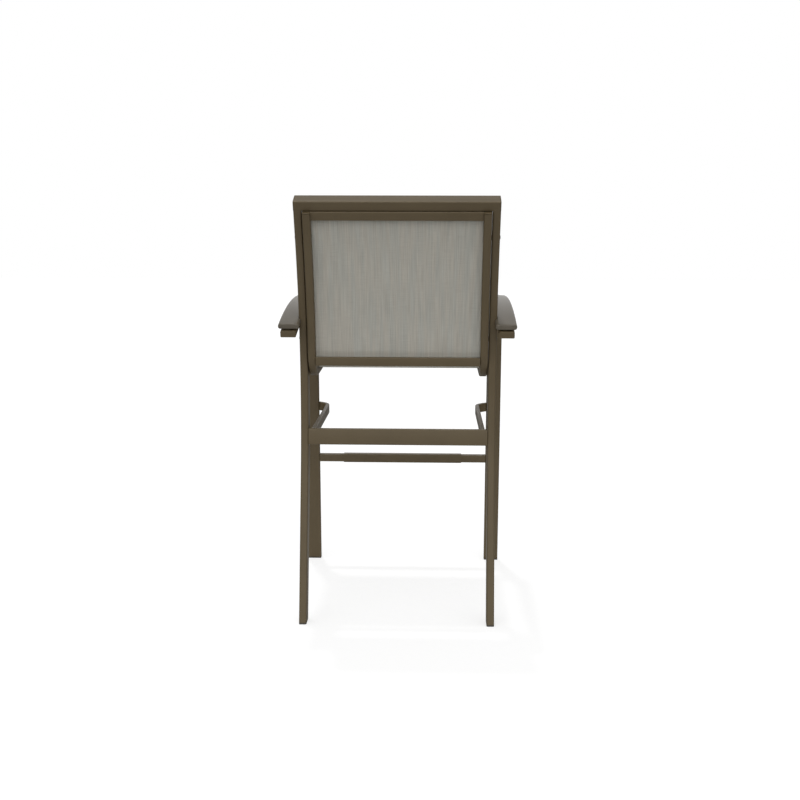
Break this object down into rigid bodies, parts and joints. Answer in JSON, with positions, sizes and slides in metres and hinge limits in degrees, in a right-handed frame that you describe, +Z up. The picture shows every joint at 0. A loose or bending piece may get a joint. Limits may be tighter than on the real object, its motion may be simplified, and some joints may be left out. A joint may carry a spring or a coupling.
{
  "type": "bar-height sling patio chair",
  "caption": "Tall outdoor arm chair: bent tube frame, stretched cloths for the seat and the back, arched arms and a footrest bar.",
  "frame": {"origin": "on the floor, under the middle of the chair's overall width and depth", "axes": "+Z up, +X towards the sitter's left, the sitter faces -Y"},
  "size_m": [0.6792, 0.7218, 1.238],
  "materials": {
    "frame": "satin bronze powder coat on aluminium tube",
    "arm_polymer": "satin moulded polymer, bronze",
    "cloth": "open basket weave of coated yarn, grey with fine streaks along its length",
    "rubber": "matt black",
    "dark_polymer": "matt dark bronze",
    "hardware": "coated steel, dark bronze"
  },
  "bodies": {
    "root": {"arm_left": "arm_polymer", "arm_pad_front_left": "rubber", "arm_pad_front_right": "rubber", "arm_pad_rear_left": "rubber", "arm_pad_rear_right": "rubber", "arm_right": "arm_polymer", "arm_screw_front_left": "hardware", "arm_screw_front_right": "hardware", "arm_screw_rear_left": "hardware", "arm_screw_rear_right": "hardware", "arm_support_left": "frame", "arm_support_right": "frame", "back_bottom_spreader": "frame", "back_top_spreader": "frame", "footrest_bar": "frame", "footrest_sleeve": "frame", "front_glide_left": "dark_polymer", "front_glide_right": "dark_polymer", "front_leg_left": "frame", "front_leg_right": "frame", "rail_bolt_lower_left": "hardware", "rail_bolt_lower_right": "hardware", "rail_bolt_upper_left": "hardware", "rail_bolt_upper_right": "hardware", "rail_cap_front_left": "dark_polymer", "rail_cap_front_right": "dark_polymer", "rail_cap_top_left": "dark_polymer", "rail_cap_top_right": "dark_polymer", "rail_spacer_lower_left": "hardware", "rail_spacer_lower_right": "hardware", "rail_spacer_upper_left": "hardware", "rail_spacer_upper_right": "hardware", "rear_glide_left": "dark_polymer", "rear_glide_right": "dark_polymer", "rear_post_left": "frame", "rear_post_right": "frame", "rear_stretcher": "frame", "seat_bolt_left": "hardware", "seat_bolt_right": "hardware", "seat_crossbar": "frame", "seat_saddle_left": "rubber", "seat_saddle_right": "rubber", "seat_spreader": "frame", "side_bar_left": "frame", "side_bar_right": "frame", "sling_back": "cloth", "sling_rail_left": "frame", "sling_rail_right": "frame", "sling_seat": "cloth", "sling_spline_left": "dark_polymer", "sling_spline_right": "dark_polymer", "support_bolt_left": "hardware", "support_bolt_right": "hardware", "support_plug_left": "dark_polymer", "support_plug_right": "dark_polymer", "support_spacer_left": "hardware", "support_spacer_right": "hardware", "top_rail": "frame", "top_rail_plug_left": "dark_polymer", "top_rail_plug_right": "dark_polymer"}
  },
  "joints": []
}
